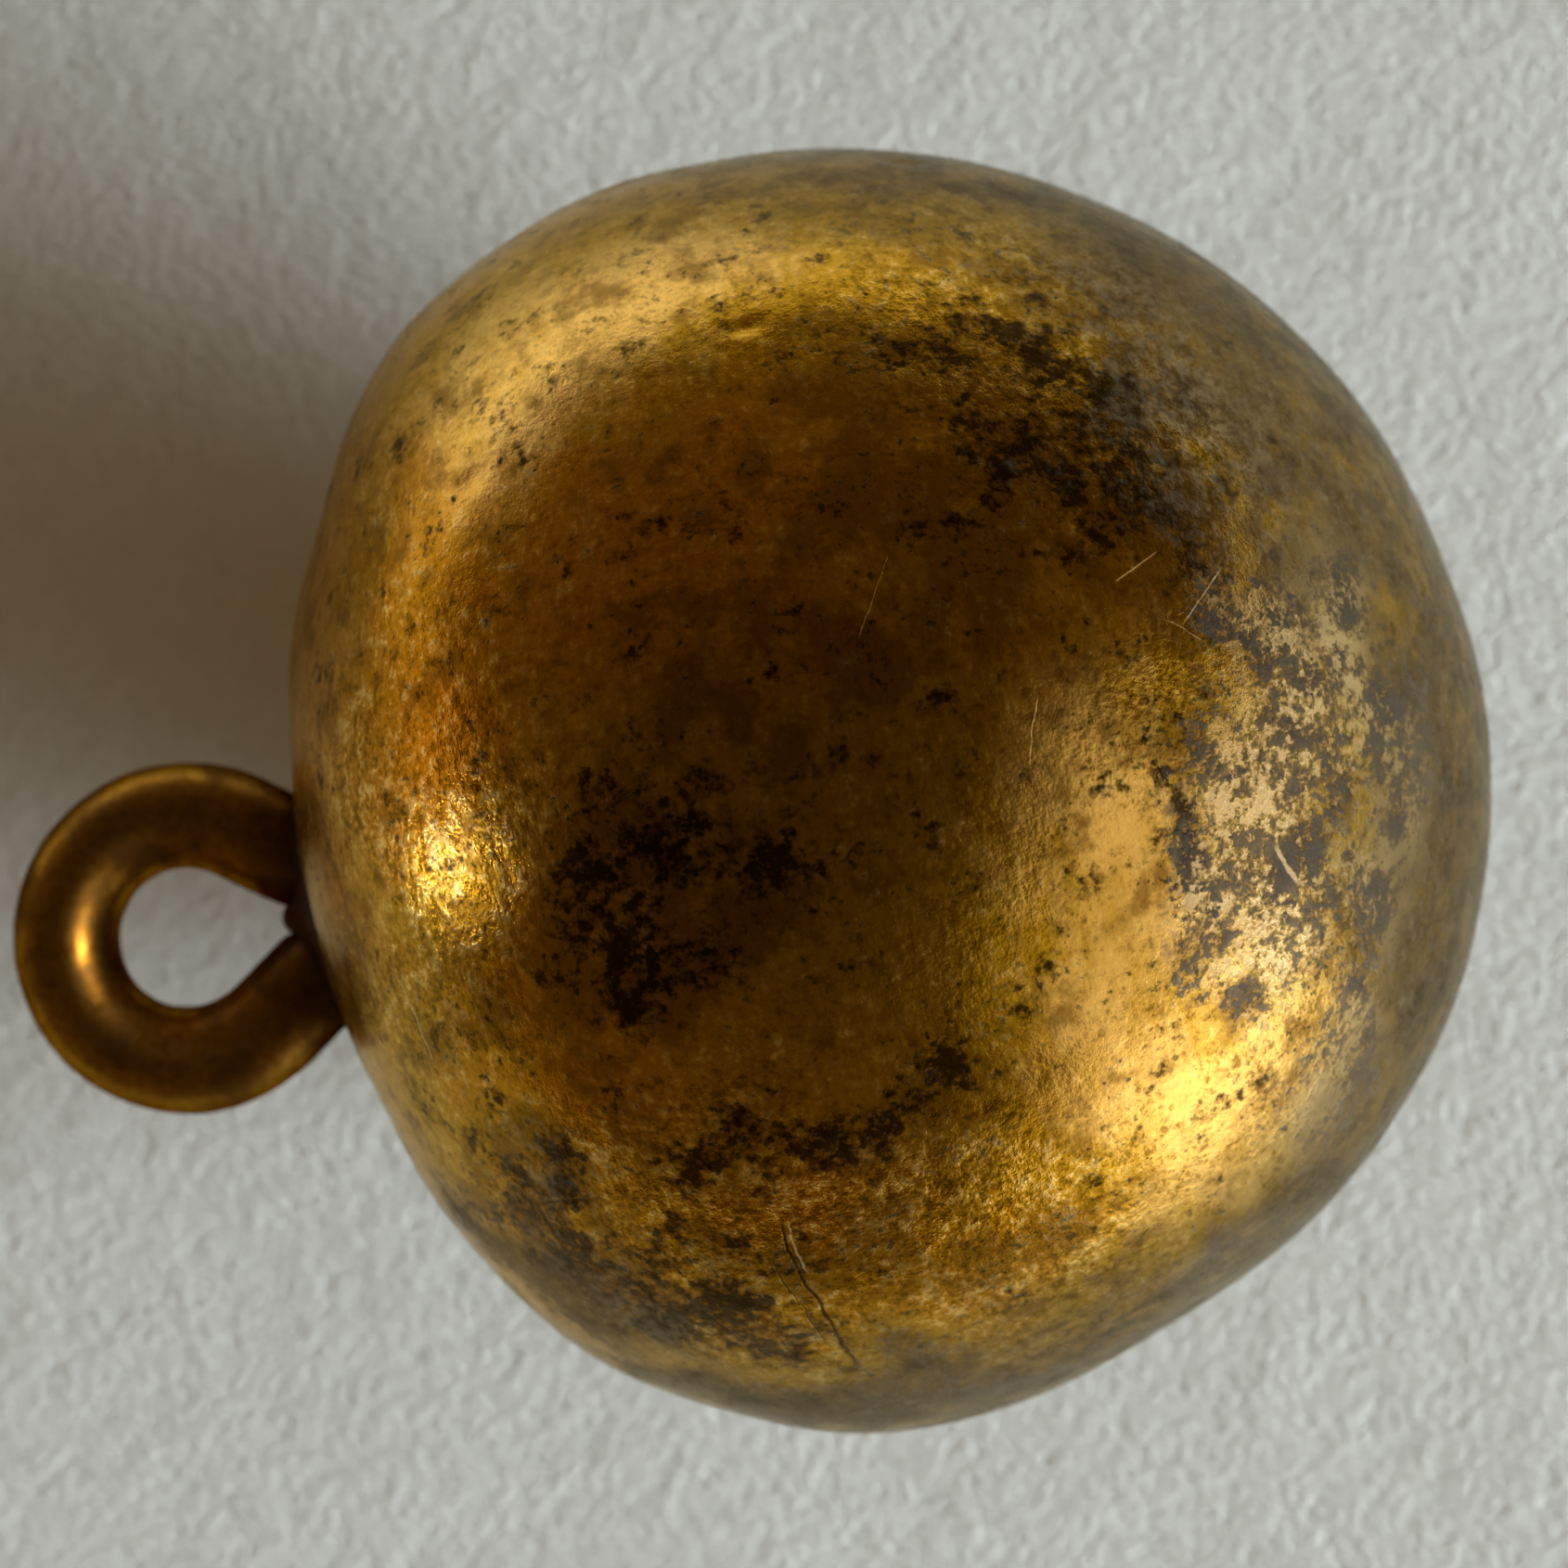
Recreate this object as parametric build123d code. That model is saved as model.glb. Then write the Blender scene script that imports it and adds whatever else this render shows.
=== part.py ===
from build123d import *

import os
from math import cos, pi, radians, sin, tan

# A hollow ball button of gilt brass with a wire shank, in millimetres. Two drawn shells meet at the
# girth in a soldered lap joint, and a wire loop is brazed into a hole in the back of the ball.
# The origin is the centre of the shank's eye. +X runs along the button's axis from the shank to
# the face, and +Z is up with the button on its side and the loop lying flat.

os.makedirs("parts", exist_ok=True)

# Ball
BALL_RADIUS = 6.70
FACE_DEPTH = 7.06  # from the girth to the front pole
BACK_DEPTH = 5.36  # from the girth to the back pole
WALL = 0.40
FACE_ROUNDNESS = (2.05, 2.05)  # powers of depth and radius; 2 and 2 give an ellipse
BACK_ROUNDNESS = (2.20, 2.08)  # fuller at the shoulder than an ellipse
GIRTH_X = 6.80
BACK_POLE_X = GIRTH_X - BACK_DEPTH
PROFILE_STEPS = 9

# Lap joint at the girth: the back shell's lip fits inside the front shell
LIP_LENGTH = 0.80
LIP_OUTER_RADIUS = 6.20
LIP_THICKNESS = 0.30
LIP_ROOT_LENGTH = 0.50
LIP_RAMP_LENGTH = 0.50
LIP_JOIN_RADIUS = 6.36  # inside the back shell's wall, where the lip grows out of it
SOLDER_BEAD = 0.15

# Shank
WIRE_RADIUS = 0.57
EYE_RADIUS = 1.29  # to the wire's centre line
LEG_ANGLE = radians(35)  # each leg's slope towards the loop's midline
LEG_HALF_SPACING = 0.59
LEG_BEND_RADIUS = 0.65
LEG_END_X = 2.29
SHANK_LEAN = 2.2  # degrees from the ball's axis, towards -Y at the foot
SHANK_HOLE_RADIUS = 1.35
DRILL_LENGTH = 4.00

# Braze around the shank's foot
BRAZE_RADIUS = 1.58
BRAZE_SHOULDER_RADIUS = 0.85
BRAZE_TOP_OUTSIDE = 0.29
BRAZE_SHOULDER_OUTSIDE = 0.20
BRAZE_TOP_INSIDE = 0.28
BRAZE_SHOULDER_INSIDE = 0.19
BRAZE_EDGE_SINK = 0.05


def dome_points(depth, radius, roundness, side):
    """Half-section points from the girth to a pole; side is +1 for the face, -1 for the back."""
    points = []
    for step in range(PROFILE_STEPS + 1):
        turn = step / PROFILE_STEPS * pi / 2
        along = depth * sin(turn) ** (2 / roundness[0])
        out = radius * max(cos(turn), 0) ** (2 / roundness[1])
        points.append((GIRTH_X + side * along, out))
    points[-1] = (GIRTH_X + side * depth, 0)
    return points


def dome_shell(depth, roundness, side):
    """A dome of even wall, open at the girth and closed at the pole."""
    ends = [(side, 0), (0, -1)]
    outer = dome_points(depth, BALL_RADIUS, roundness, side)
    inner = dome_points(depth - WALL, BALL_RADIUS - WALL, roundness, side)
    outline = [
        Spline(*outer, tangents=ends),
        Line(outer[-1], inner[-1]),
        Spline(*inner, tangents=ends),
        Line(inner[0], outer[0]),
    ]
    return revolve(make_face(outline), axis=Axis.X)


def ring(*section):
    """A ring about the ball's axis, from the corners of its half section."""
    return revolve(make_face(Polyline(*section, close=True)), axis=Axis.X)


def front_shell():
    return dome_shell(FACE_DEPTH, FACE_ROUNDNESS, 1)


def back_shell():
    lip_inner = LIP_OUTER_RADIUS - LIP_THICKNESS
    lip = ring(
        (GIRTH_X - LIP_ROOT_LENGTH - LIP_RAMP_LENGTH, LIP_JOIN_RADIUS),
        (GIRTH_X - LIP_ROOT_LENGTH, lip_inner),
        (GIRTH_X + LIP_LENGTH, lip_inner),
        (GIRTH_X + LIP_LENGTH, LIP_OUTER_RADIUS),
        (GIRTH_X, LIP_OUTER_RADIUS),
        (GIRTH_X, LIP_JOIN_RADIUS),
    )
    drill = Plane.YZ.offset(BACK_POLE_X) * Cylinder(SHANK_HOLE_RADIUS, DRILL_LENGTH)
    return dome_shell(BACK_DEPTH, BACK_ROUNDNESS, -1) + lip - drill


def seam_solder(front):
    """Solder between the lip and the front shell, with a small bead past the lip's end."""
    bead_end = GIRTH_X + LIP_LENGTH + SOLDER_BEAD
    blank = ring(
        (GIRTH_X, LIP_OUTER_RADIUS),
        (bead_end, LIP_OUTER_RADIUS),
        (bead_end, BALL_RADIUS - WALL / 2),
        (GIRTH_X, BALL_RADIUS - WALL / 2),
    )
    return blank - front


def shank_loop():
    """One wire bent to a teardrop eye, its legs closing together where they enter the ball."""
    start = (EYE_RADIUS * sin(LEG_ANGLE), EYE_RADIUS * cos(LEG_ANGLE))
    bend_out = LEG_HALF_SPACING + LEG_BEND_RADIUS * (1 - cos(LEG_ANGLE))
    bend_x = start[0] + (start[1] - bend_out) / tan(LEG_ANGLE)
    bend_mid = (
        bend_x + LEG_BEND_RADIUS * (sin(LEG_ANGLE) - sin(LEG_ANGLE / 2)),
        LEG_HALF_SPACING + LEG_BEND_RADIUS * (1 - cos(LEG_ANGLE / 2)),
    )
    bend_end = (bend_x + LEG_BEND_RADIUS * sin(LEG_ANGLE), LEG_HALF_SPACING)

    def leg(side):
        def at(point):
            return (point[0], side * point[1])

        return [
            Line(at((LEG_END_X, LEG_HALF_SPACING)), at(bend_end)),
            ThreePointArc(at(bend_end), at(bend_mid), at((bend_x, bend_out))),
            Line(at((bend_x, bend_out)), at(start)),
        ]

    eye = ThreePointArc(start, (-EYE_RADIUS, 0), (start[0], -start[1]))
    path = Wire([*leg(1), eye, *leg(-1)])
    section = Plane((LEG_END_X, LEG_HALF_SPACING, 0), z_dir=(-1, 0, 0)) * Circle(WIRE_RADIUS)
    return Rot(Z=-SHANK_LEAN) * sweep(section, path=path)


def back_surface_x(radius, inset):
    """Where the back dome's surface lies at a radius; inset is 0 outside and WALL inside."""
    along_power, out_power = BACK_ROUNDNESS
    share = 1 - (radius / (BALL_RADIUS - inset)) ** out_power
    return GIRTH_X - (BACK_DEPTH - inset) * share ** (1 / along_power)


def shank_braze(loop, back):
    """Filler metal: a low mound outside, the filled hole, and a puddle inside."""
    outside_top = (back_surface_x(0, 0) - BRAZE_TOP_OUTSIDE, 0)
    outside_shoulder = (
        back_surface_x(BRAZE_SHOULDER_RADIUS, 0) - BRAZE_SHOULDER_OUTSIDE,
        BRAZE_SHOULDER_RADIUS,
    )
    outside_edge = (back_surface_x(BRAZE_RADIUS, 0) + BRAZE_EDGE_SINK, BRAZE_RADIUS)
    inside_edge = (back_surface_x(BRAZE_RADIUS, WALL) - BRAZE_EDGE_SINK, BRAZE_RADIUS)
    inside_shoulder = (
        back_surface_x(BRAZE_SHOULDER_RADIUS, WALL) + BRAZE_SHOULDER_INSIDE,
        BRAZE_SHOULDER_RADIUS,
    )
    inside_top = (back_surface_x(0, WALL) + BRAZE_TOP_INSIDE, 0)
    outline = [
        ThreePointArc(outside_top, outside_shoulder, outside_edge),
        Line(outside_edge, inside_edge),
        ThreePointArc(inside_edge, inside_shoulder, inside_top),
        Line(inside_top, outside_top),
    ]
    return revolve(make_face(outline), axis=Axis.X) - back - loop


front = front_shell()
back = back_shell()
loop = shank_loop()
pieces = {
    "front_shell": front,
    "back_shell": back,
    "seam_solder": seam_solder(front),
    "shank_loop": loop,
    "shank_braze": shank_braze(loop, back),
}
for name, piece in pieces.items():
    export_step(piece, f"parts/{name}.step")
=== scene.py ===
from math import asin, cos, pi, radians, sin, tan

import bpy
import numpy as np
from mathutils import Matrix, Vector


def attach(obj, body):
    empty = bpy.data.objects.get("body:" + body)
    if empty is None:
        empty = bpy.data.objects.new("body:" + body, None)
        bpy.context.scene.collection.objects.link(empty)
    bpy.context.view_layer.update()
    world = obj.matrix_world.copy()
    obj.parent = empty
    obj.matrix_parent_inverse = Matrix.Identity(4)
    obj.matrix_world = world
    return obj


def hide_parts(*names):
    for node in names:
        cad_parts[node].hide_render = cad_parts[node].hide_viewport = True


# A gilt ball button with a wire shank lying on its side. Shapes are worked out in millimetres in
# the part's frame and written to the meshes in metres.

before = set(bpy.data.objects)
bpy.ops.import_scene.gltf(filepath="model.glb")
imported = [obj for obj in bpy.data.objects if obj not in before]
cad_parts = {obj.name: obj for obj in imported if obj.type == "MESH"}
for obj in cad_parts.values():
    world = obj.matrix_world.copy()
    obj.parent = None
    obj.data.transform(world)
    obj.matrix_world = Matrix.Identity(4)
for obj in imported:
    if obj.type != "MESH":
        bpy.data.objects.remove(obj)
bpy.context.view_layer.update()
rng = np.random.default_rng(41)
MM = 0.001

# ---------------------------------------------------------------- the part's driving sizes, mm
BALL_RADIUS = 6.70
FACE_DEPTH = 7.06
BACK_DEPTH = 5.36
WALL = 0.40
FACE_POWERS = (2.05, 2.05)
BACK_POWERS = (2.20, 2.08)
GIRTH_X = 6.80
HOLE_RADIUS = 1.35
FLOOR_Z = -6.70
SHRINK = 0.03  # keeps the wavy skin inside the CAD box

WIRE_RADIUS = 0.57
EYE_RADIUS = 1.29
LEG_ANGLE = radians(35)
LEG_HALF_SPACING = 0.59
LEG_BEND_RADIUS = 0.65
LEG_END_X = 2.29
SHANK_LEAN = radians(-2.2)
BRAZE_RADIUS = 1.58
BRAZE_TOP = 0.08  # the mound's height outside the ball, away from the legs
BRAZE_CLIMB = 0.05  # the filler climbs the legs by this much
BRAZE_WEB = 0.25  # the filler stands this much higher in the crotch between the legs
BRAZE_PUDDLE = 0.26  # its height inside the ball
BRAZE_EDGE_SINK = 0.05
FOOT_SHIFT = 0.06  # the shank's lean carries the feet of its legs this far towards -Y


# ---------------------------------------------------------------- helpers
def make_piece(name, verts, faces, material, slot, *nodes, sharp=None, marks=None):
    """A smooth-shaded mesh from millimetre points, riding on the root body for its CAD nodes."""
    mesh = bpy.data.meshes.new(name)
    mesh.from_pydata((np.asarray(verts) * MM).tolist(), [], faces)
    mesh.update()
    mesh.polygons.foreach_set("use_smooth", np.ones(len(mesh.polygons), bool))
    if sharp is not None:
        ends = np.zeros(len(mesh.edges) * 2, int)
        mesh.edges.foreach_get("vertices", ends)
        flags = sharp[ends.reshape(-1, 2)].all(1)
        attribute = mesh.attributes.new("sharp_edge", "BOOLEAN", "EDGE")
        attribute.data.foreach_set("value", flags)
    for mark, values in (marks or {}).items():
        attribute = mesh.attributes.new(mark, "FLOAT", "POINT")
        attribute.data.foreach_set("value", values.astype(np.float32))
    mesh.materials.append(material)
    obj = bpy.data.objects.new(name, mesh)
    bpy.context.scene.collection.objects.link(obj)
    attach(obj, "root")
    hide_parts(*nodes)
    return obj


def strip(first, second):
    """Quads between two closed rings of equal count."""
    count = len(first)
    return [
        (first[i], first[(i + 1) % count], second[(i + 1) % count], second[i])
        for i in range(count)
    ]


# ---------------------------------------------------------------- the ball's uneven skin
# Flats and dents seen round the outline: (azimuth, elevation, depth, half width, half height).
OUTLINE_DENTS = (
    (-69, 0, 0.095, 12, 24),
    (-110, 0, 0.135, 10, 20),
    (-156, 0, 0.095, 6, 16),
    (163, 0, 0.110, 6, 16),
    (139, 0, 0.205, 7, 17),
    (180, 0, 0.035, 10, 20),
    (10, 0, 0.040, 9, 20),
    (119, 0, -0.050, 5, 14),
    (94, 0, -0.035, 6, 14),
)


def wave_set(count, lengths, height):
    """Random plane waves in space: unit direction over wavelength, phase, height."""
    direction = rng.normal(size=(count, 3))
    direction /= np.linalg.norm(direction, axis=1)[:, None]
    length = rng.uniform(*lengths, count)
    phase = rng.uniform(0, 2 * pi, count)
    return direction * (2 * pi / length)[:, None], phase, height * length / max(lengths)


def waves(points, waveset):
    turns, phase, height = waveset
    return (np.sin(points @ turns.T + phase) * height).sum(1)


BROAD = wave_set(10, (4.0, 8.0), 0.006)
MIDDLE = wave_set(14, (1.5, 3.0), 0.0022)
FINE = wave_set(18, (0.5, 1.1), 0.0005)


def scatter(count):
    """Random unit directions."""
    found = rng.normal(size=(count, 3))
    return found / np.linalg.norm(found, axis=1)[:, None]


DINGS = [
    (place, rng.uniform(0.012, 0.035), rng.uniform(0.010, 0.024)) for place in scatter(46)
]
KNOCKS = [
    ((0.05, -0.06, 1.00), 0.010, 0.10),
    ((0.62, -0.26, 0.74), 0.012, 0.09),
    ((-0.42, -0.52, 0.74), 0.018, 0.06),
    ((0.30, 0.62, 0.72), 0.014, 0.10),
    ((-0.55, 0.10, 0.83), 0.012, 0.07),
    ((0.70, -0.70, -0.10), 0.030, 0.07),
    ((-0.30, -0.60, -0.74), 0.045, 0.09),
    ((0.66, 0.50, -0.55), 0.050, 0.10),
    ((-0.62, 0.62, -0.48), 0.030, 0.07),
]


# Sideways shifts that make the edges of the tarnish patches ragged.
DRIFT = [wave_set(12, (0.7, 3.2), 0.17) for _ in range(3)]


def patch_share(points, patches):
    """Highest share over the patches: 1 at an ellipsoid's centre, 0 at its surface."""
    best = np.full(len(points), -1.0)
    for centre, radii, turn in patches:
        away = points - centre
        along, across = cos(radians(turn)), sin(radians(turn))
        local = np.stack(
            [
                away[:, 0] * along + away[:, 1] * across,
                away[:, 1] * along - away[:, 0] * across,
                away[:, 2],
            ],
            -1,
        )
        best = np.maximum(best, 1 - np.linalg.norm(local / radii, axis=1))
    return best


def patch_marks(verts):
    """How far each skin point lies inside the gilt material's patches, by kind."""
    own = np.asarray(verts) - (GIRTH_X, 0, 0)
    along, across = cos(radians(VIEW_TURN)), sin(radians(VIEW_TURN))
    seen = own @ np.array([[along, across, 0], [-across, along, 0], [0, 0, 1]])
    seen += np.stack([waves(own, waveset) for waveset in DRIFT], -1)
    return {kind: patch_share(seen, patches) for kind, patches in PATCHES.items()}


def skin_shift(points):
    """How far the skin stands out from the ideal dome, at points from the girth's centre."""
    away = points / np.linalg.norm(points, axis=1)[:, None]
    azimuth = np.degrees(np.arctan2(away[:, 1], away[:, 0]))
    elevation = np.degrees(np.arcsin(np.clip(away[:, 2], -1, 1)))
    shift = waves(points, BROAD) + waves(points, MIDDLE) + waves(points, FINE) - SHRINK
    for centre, height, depth, wide, tall in OUTLINE_DENTS:
        turn = (azimuth - centre + 180) % 360 - 180
        shift -= depth * np.exp(-((turn / wide) ** 2) - ((elevation - height) / tall) ** 2)
    for place, depth, width in DINGS:
        shift -= depth * np.exp(-((away - place) ** 2).sum(1) / width**2)
    for place, depth, width in KNOCKS:
        spot = np.array(place) / np.linalg.norm(place)
        shift -= depth * np.exp(-((away - spot) ** 2).sum(1) / width**2)
    return shift


def dome(turn, around, side, inset=0.0):
    """Points from the girth's centre; turn is 0 at the pole and a quarter turn at the girth."""
    depth, powers = (FACE_DEPTH, FACE_POWERS) if side > 0 else (BACK_DEPTH, BACK_POWERS)
    along = side * (depth - inset) * np.clip(np.cos(turn), 0, 1) ** (2 / powers[0])
    out = (BALL_RADIUS - inset) * np.sin(turn) ** (2 / powers[1])
    return np.stack([along, out * np.cos(around), out * np.sin(around)], -1)


def skin(turn, around, side, inset=0.0):
    """Finished skin points in the part's frame."""
    points = dome(turn, around, side)
    depth = FACE_DEPTH if side > 0 else BACK_DEPTH
    slope = points / np.array([depth, BALL_RADIUS, BALL_RADIUS]) ** 2
    slope /= np.linalg.norm(slope, axis=1)[:, None]
    shifted = points + slope * (skin_shift(points) - inset)[:, None]
    return shifted + np.array([GIRTH_X, 0, 0])


def inner_cup(verts, faces, rim, side, rows, stop):
    """A plain inner wall from the girth's rim to a small ring or the pole, closed on itself."""
    count = len(rim)
    around = np.arctan2(*(np.array([verts[i][k] for i in rim]) for k in (2, 1)))
    last = rim
    for row in range(rows):
        turn = pi / 2 - (pi / 2 - stop) * row / (rows - 1)
        ring = skin(np.full(count, turn), around, side, WALL)
        if row == 0:
            ring[:, 0] = GIRTH_X
        index = list(range(len(verts), len(verts) + count))
        verts.extend(ring.tolist())
        faces.extend(strip(last, index))
        last = index
    return last


def front_skin(material):
    """The face: concentric squares bent to rings, so no pole shows in the middle of the face."""
    half = 140
    steps = np.arange(-half, half + 1) / half
    b, a = np.meshgrid(steps, steps)
    reach = np.maximum(np.abs(a), np.abs(b))
    wide = np.abs(a) >= np.abs(b)
    with np.errstate(divide="ignore", invalid="ignore"):
        around = np.where(wide, pi / 4 * b / a + (a < 0) * pi, pi / 2 * np.sign(b) - pi / 4 * a / b)
    around = np.nan_to_num(around)
    verts = skin((reach * pi / 2).ravel(), around.ravel(), 1).tolist()
    side = 2 * half + 1
    faces = []
    for i in range(side - 1):
        for j in range(side - 1):
            k = i * side + j
            faces.append((k, k + side, k + side + 1, k + 1))
    low, high = 0, side - 1
    rim = [i * side + low for i in range(side - 1)]
    rim += [high * side + j for j in range(side - 1)]
    rim += [i * side + high for i in range(high, 0, -1)]
    rim += [low * side + j for j in range(high, 0, -1)]
    for k in rim:
        verts[k][0] = GIRTH_X
    faces.append(tuple(inner_cup(verts, faces, rim[::-1], 1, 8, 0.02)))
    sharp = np.zeros(len(verts), bool)
    sharp[rim] = True
    return make_piece(
        "front_skin",
        verts,
        faces,
        material,
        "gilt_shell",
        "front_shell",
        sharp=sharp,
        marks=patch_marks(verts),
    )


def back_skin(material):
    """The back: rings from the girth to the shank's hole, through it and back inside."""
    around_count, rows = ((560, 122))
    around = np.arange(around_count) / around_count * 2 * pi
    hole_turn = asin((HOLE_RADIUS / BALL_RADIUS) ** (BACK_POWERS[1] / 2))
    verts, faces, last, rim = [], [], None, None
    for row in range(rows + 1):
        turn = pi / 2 + (hole_turn - pi / 2) * row / rows
        ring = skin(np.full(around_count, turn), around, -1)
        if row == 0:
            ring[:, 0] = GIRTH_X
        index = list(range(len(verts), len(verts) + around_count))
        verts.extend(ring.tolist())
        if last:
            faces.extend(strip(last, index))
        else:
            rim = index
        last = index
    hole = last
    inner = inner_cup(verts, faces, rim[::-1], -1, 10, hole_turn)
    faces.extend(strip(hole, inner[::-1]))
    faces = [face[::-1] for face in faces]
    sharp = np.zeros(len(verts), bool)
    sharp[rim] = True
    return make_piece(
        "back_skin",
        verts,
        faces,
        material,
        "gilt_shell",
        "back_shell",
        sharp=sharp,
        marks=patch_marks(verts),
    )


# ---------------------------------------------------------------- shank
def shank_path(spacing):
    """Centre line of the wire, one leg to the other, from the constants of the CAD sweep."""
    start = np.array([EYE_RADIUS * sin(LEG_ANGLE), EYE_RADIUS * cos(LEG_ANGLE)])
    bend_out = LEG_HALF_SPACING + LEG_BEND_RADIUS * (1 - cos(LEG_ANGLE))
    bend_x = start[0] + (start[1] - bend_out) / tan(LEG_ANGLE)
    points = [np.array([LEG_END_X, LEG_HALF_SPACING])]
    for step in range(9):
        turn = LEG_ANGLE * step / 8
        points.append(
            np.array(
                [
                    bend_x + LEG_BEND_RADIUS * (sin(LEG_ANGLE) - sin(turn)),
                    LEG_HALF_SPACING + LEG_BEND_RADIUS * (1 - cos(turn)),
                ]
            )
        )
    sweep_from = pi / 2 - LEG_ANGLE
    for step in range(97):
        turn = sweep_from + (2 * pi - 2 * sweep_from) * step / 96
        points.append(EYE_RADIUS * np.array([cos(turn), sin(turn)]))
    points += [point * np.array([1, -1]) for point in points[9::-1]]
    line = np.array(points)
    length = np.concatenate([[0], np.cumsum(np.linalg.norm(np.diff(line, axis=0), axis=1))])
    keep = np.concatenate([[True], np.diff(length) > 1e-6])
    line, length = line[keep], length[keep]
    even = np.linspace(0, length[-1], int(length[-1] / spacing) + 1)
    return np.stack([np.interp(even, length, line[:, k]) for k in (0, 1)], -1)


def shank_wire(material):
    """The bent wire, a little uneven in thickness and flattened where it was pulled round."""
    around_count, spacing = ((64, 0.032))
    line = shank_path(spacing)
    for _ in range(3):
        line[1:-1] = (line[:-2] + 2 * line[1:-1] + line[2:]) / 4
    ahead = np.gradient(line, axis=0)
    ahead /= np.linalg.norm(ahead, axis=1)[:, None]
    aside = np.stack([-ahead[:, 1], ahead[:, 0]], -1)
    bumps = wave_set(10, (0.5, 2.2), 0.005)
    lean = np.array([[cos(SHANK_LEAN), -sin(SHANK_LEAN)], [sin(SHANK_LEAN), cos(SHANK_LEAN)]])
    verts, faces, last = [], [], None
    turn = np.arange(around_count) / around_count * 2 * pi
    for place, out in zip(line, aside):
        on_eye = np.clip((0.9 - place[0]) / 0.8, 0, 1)
        flat = 1 - 0.025 * on_eye
        ring = np.zeros((around_count, 3))
        ring[:, :2] = place + np.outer(np.cos(turn) * WIRE_RADIUS * (1 - 0.01 * on_eye), out)
        ring[:, 2] = np.sin(turn) * WIRE_RADIUS * flat
        middle = np.array([*place, 0.0])
        ring = middle + (ring - middle) * (0.995 + waves(ring, bumps))[:, None]
        ring[:, :2] = ring[:, :2] @ lean.T
        index = list(range(len(verts), len(verts) + around_count))
        verts.extend(ring.tolist())
        if last:
            faces.extend(strip(last, index))
        else:
            first = index
        last = index
    faces.append(tuple(first[::-1]))
    faces.append(tuple(last))
    return make_piece("shank_wire", verts, faces, material, "shank_wire", "shank_loop")


def back_surface_x(radius, inset=0.0):
    """Where the even back dome's surface lies at a radius from the button's axis."""
    share = 1 - (radius / (BALL_RADIUS - inset)) ** BACK_POWERS[1]
    return GIRTH_X - (BACK_DEPTH - inset) * share ** (1 / BACK_POWERS[0])


def braze_mound(material):
    """Filler metal round the shank's foot: a lumpy mound that climbs the two legs."""
    around_count, rows = ((180, 44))
    lumps = wave_set(12, (0.35, 1.2), 0.014)
    legs = [np.array([side * LEG_HALF_SPACING - FOOT_SHIFT, 0.0]) for side in (-1, 1)]
    around = np.arange(around_count) / around_count * 2 * pi
    uneven = 1 - 0.05 * (1 + np.sin(2 * around + 0.8)) / 2 - 0.02 * (1 + np.sin(5 * around)) / 2

    def face(share, inside):
        radius = share * BRAZE_RADIUS * uneven
        flat = np.stack([radius * np.cos(around), radius * np.sin(around)], -1)
        dome_out = np.clip(1 - share**2, 0, 1)
        near = np.min([np.hypot(*(flat - leg).T) for leg in legs], axis=0)
        climb = BRAZE_CLIMB * np.exp(-((np.clip(near - WIRE_RADIUS, 0, 9) / 0.16) ** 2))
        across, up = flat.T
        web = BRAZE_WEB * np.exp(-(((across + FOOT_SHIFT) / 0.26) ** 2) - (up / 0.45) ** 2)
        x = np.array([back_surface_x(r, WALL if inside else 0.0) for r in radius])
        if inside:
            x += BRAZE_PUDDLE * dome_out - BRAZE_EDGE_SINK * share**4
        else:
            rise = climb * min(1, 6 * dome_out) + web
            x -= BRAZE_TOP * dome_out**0.8 + rise - BRAZE_EDGE_SINK * share**4
        ring = np.column_stack([x, flat])
        ring[:, 0] += waves(ring, lumps) * dome_out
        return ring

    verts, faces, last = [], [], None
    rings = [(row / rows, False) for row in range(1, rows + 1)]
    rings += [(1 - row / 6, True) for row in range(6)]
    for share, inside in rings:
        index = list(range(len(verts), len(verts) + around_count))
        verts.extend(face(share, inside).tolist())
        if last:
            faces.extend(strip(last, index))
        else:
            first = index
        last = index
    faces.append(tuple(first[::-1]))
    faces.append(tuple(last))
    return make_piece("braze_mound", verts, faces, material, "braze", "shank_braze")


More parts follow.
